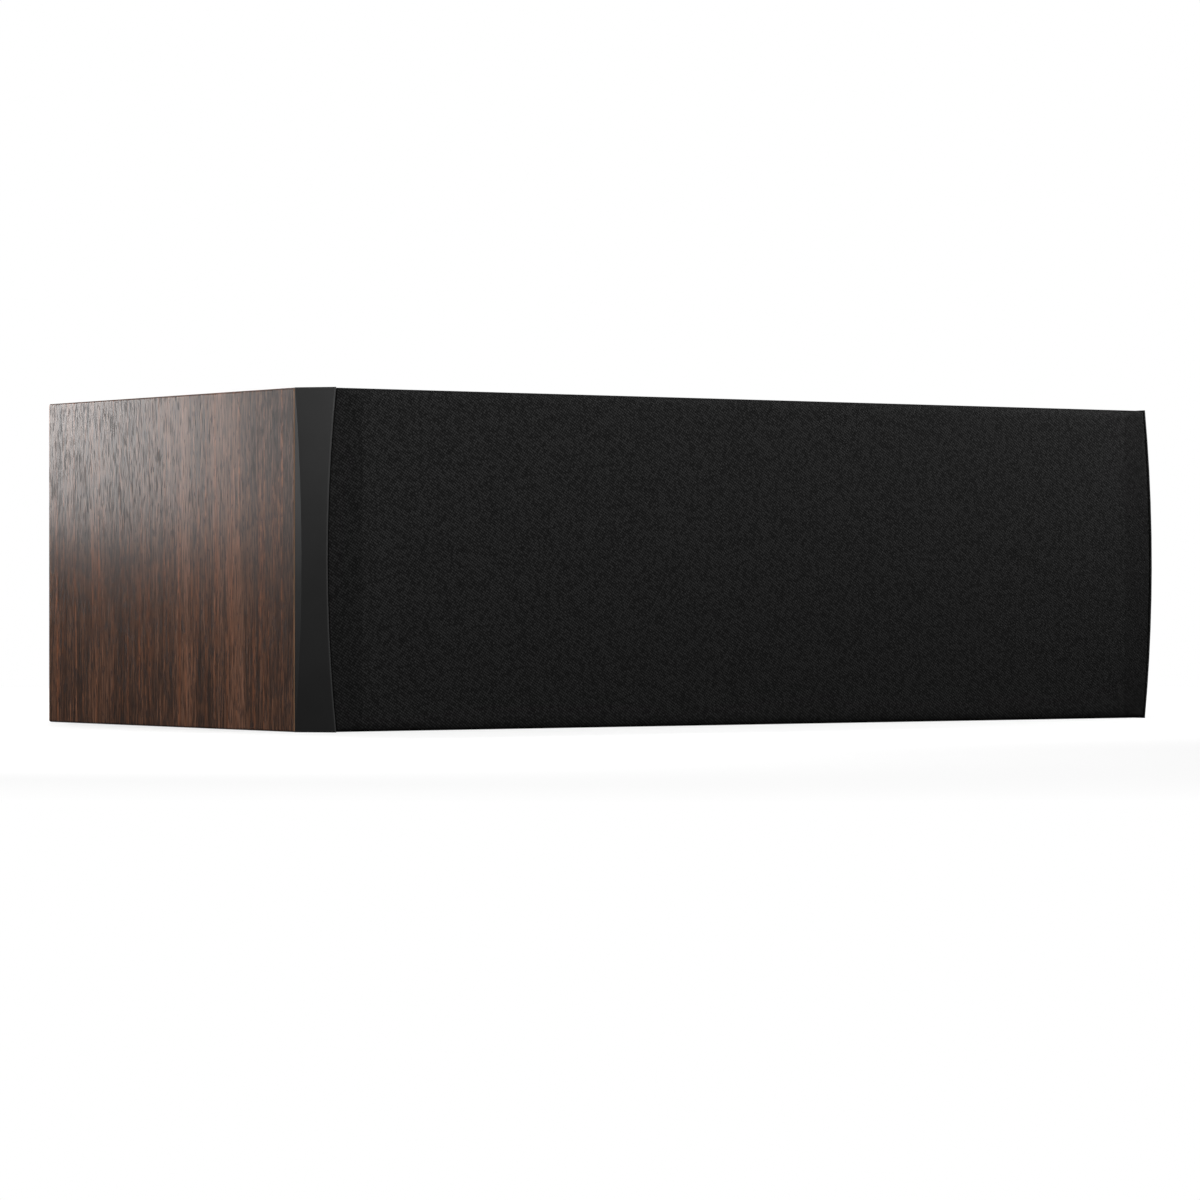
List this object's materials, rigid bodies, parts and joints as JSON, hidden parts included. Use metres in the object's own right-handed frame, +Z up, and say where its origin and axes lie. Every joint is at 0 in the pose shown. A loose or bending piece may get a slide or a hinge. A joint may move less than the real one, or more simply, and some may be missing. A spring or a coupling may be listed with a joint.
{
  "type": "centre-channel loudspeaker",
  "caption": "Low walnut-veneered centre loudspeaker with a black bowed-bevel front, a pull-off cloth grille, woofers around a dome tweeter, rear ports and screw-cap binding posts.",
  "frame": {"origin": "on the base, midway between the ends and midway between the front rim and the back board", "axes": "+X to the right as seen from the front, +Y out of the back, +Z up; the grille faces -Y"},
  "size_m": [0.552, 0.2944, 0.17],
  "materials": {
    "walnut_veneer": "satin lacquered walnut veneer",
    "bare_board": "bare fibreboard",
    "black_lacquer": "satin black lacquer on fibreboard",
    "grille_cloth": "woven black cloth",
    "black_moulding": "fine-textured black moulding",
    "plated_magnet": "nickel-plated magnet",
    "ferrite": "pressed ferrite",
    "zinc_steel": "zinc-plated steel",
    "basket_alloy": "black powder-coated die casting",
    "black_rubber": "matt rubber",
    "gasket_foam": "closed-cell foam",
    "spider_cloth": "resin-treated woven cloth",
    "cone_polymer": "pressed mineral-filled polymer",
    "coil_wire": "wound aluminium wire",
    "dome_silk": "coated woven dome",
    "post_brass": "gold-plated brass",
    "red_knob": "red moulding",
    "black_knob": "black moulding",
    "black_screw": "blackened steel",
    "circuit_board": "solder-masked glass laminate",
    "copper_coil": "enamelled copper wire",
    "capacitor_film": "wrapped film capacitor",
    "resistor_ceramic": "glazed ceramic block",
    "cable_sheath": "flexible sheath",
    "damping_wool": "polyester wadding"
  },
  "bodies": {
    "cabinet": {"top_board": "walnut_veneer", "bottom_board": "walnut_veneer", "left_side_board": "walnut_veneer", "right_side_board": "walnut_veneer", "back_board": "walnut_veneer", "left_brace": "bare_board", "right_brace": "bare_board", "front_baffle": "black_lacquer", "baffle_magnets": "plated_magnet", "left_woofer_basket": "basket_alloy", "left_woofer_surround": "black_rubber", "left_woofer_spider": "spider_cloth", "left_woofer_top_plate": "zinc_steel", "left_woofer_magnet": "ferrite", "left_woofer_yoke": "zinc_steel", "left_port": "black_moulding", "left_damping_pad": "damping_wool", "right_woofer_basket": "basket_alloy", "right_woofer_surround": "black_rubber", "right_woofer_spider": "spider_cloth", "right_woofer_top_plate": "zinc_steel", "right_woofer_magnet": "ferrite", "right_woofer_yoke": "zinc_steel", "right_port": "black_moulding", "right_damping_pad": "damping_wool", "woofer_screws": "black_screw", "tweeter_screws": "black_screw", "terminal_screws": "black_screw", "driver_gaskets": "gasket_foam", "tweeter_faceplate": "black_moulding", "tweeter_surround": "dome_silk", "tweeter_top_plate": "zinc_steel", "tweeter_magnet": "ferrite", "tweeter_yoke": "zinc_steel", "tweeter_chamber": "black_moulding", "terminal_plate": "black_moulding", "terminal_gasket": "gasket_foam", "red_post": "post_brass", "black_post": "post_brass", "post_nuts": "zinc_steel", "crossover_board": "circuit_board", "crossover_coils": "copper_coil", "crossover_capacitors": "capacitor_film", "crossover_resistors": "resistor_ceramic", "internal_cables": "cable_sheath"},
    "grille": {"grille_frame": "black_moulding", "grille_cloth": "grille_cloth", "grille_magnets": "plated_magnet"},
    "left_cone": {"left_woofer_cone": "cone_polymer", "left_woofer_dust_cap": "cone_polymer", "left_woofer_coil": "coil_wire"},
    "right_cone": {"right_woofer_cone": "cone_polymer", "right_woofer_dust_cap": "cone_polymer", "right_woofer_coil": "coil_wire"},
    "tweeter_diaphragm": {"tweeter_dome": "dome_silk", "tweeter_coil": "coil_wire"},
    "red_insert": {"red_cap_insert": "post_brass"},
    "red_knob": {"red_cap_knob": "red_knob"},
    "black_insert": {"black_cap_insert": "post_brass"},
    "black_knob": {"black_cap_knob": "black_knob"}
  },
  "joints": [
    {"name": "grille_pull", "type": "slide", "parent": "cabinet", "child": "grille", "axis": [0, -1, 0], "range_m": [0, 0.1]},
    {"name": "left_woofer_stroke", "type": "slide", "parent": "cabinet", "child": "left_cone", "axis": [0, -1, 0], "range_m": [-0.0045, 0.0045], "stiffness_N_per_m": 1200, "deforming": ["left_woofer_surround", "left_woofer_spider"]},
    {"name": "right_woofer_stroke", "type": "slide", "parent": "cabinet", "child": "right_cone", "axis": [0, -1, 0], "range_m": [-0.0045, 0.0045], "stiffness_N_per_m": 1200, "deforming": ["right_woofer_surround", "right_woofer_spider"]},
    {"name": "tweeter_stroke", "type": "slide", "parent": "cabinet", "child": "tweeter_diaphragm", "axis": [0, -1, 0], "range_m": [-0.0004, 0.0004], "stiffness_N_per_m": 2000, "deforming": ["tweeter_surround"]},
    {"name": "red_cap_lift", "type": "slide", "parent": "cabinet", "child": "red_insert", "axis": [0, 1, 0], "range_m": [0, 0.0051]},
    {"name": "red_cap_turn", "type": "hinge", "parent": "red_insert", "child": "red_knob", "pos_m": [-0.019, 0.15075, 0.085], "axis": [0, 1, 0], "range_deg": [0, 1800]},
    {"name": "black_cap_lift", "type": "slide", "parent": "cabinet", "child": "black_insert", "axis": [0, 1, 0], "range_m": [0, 0.0051]},
    {"name": "black_cap_turn", "type": "hinge", "parent": "black_insert", "child": "black_knob", "pos_m": [0.019, 0.15075, 0.085], "axis": [0, 1, 0], "range_deg": [0, 1800]}
  ],
  "couplings": [
    {"joint": "red_cap_lift", "follows": "red_cap_turn", "m_per_rad": 0.00015915},
    {"joint": "black_cap_lift", "follows": "black_cap_turn", "m_per_rad": 0.00015915}
  ]
}
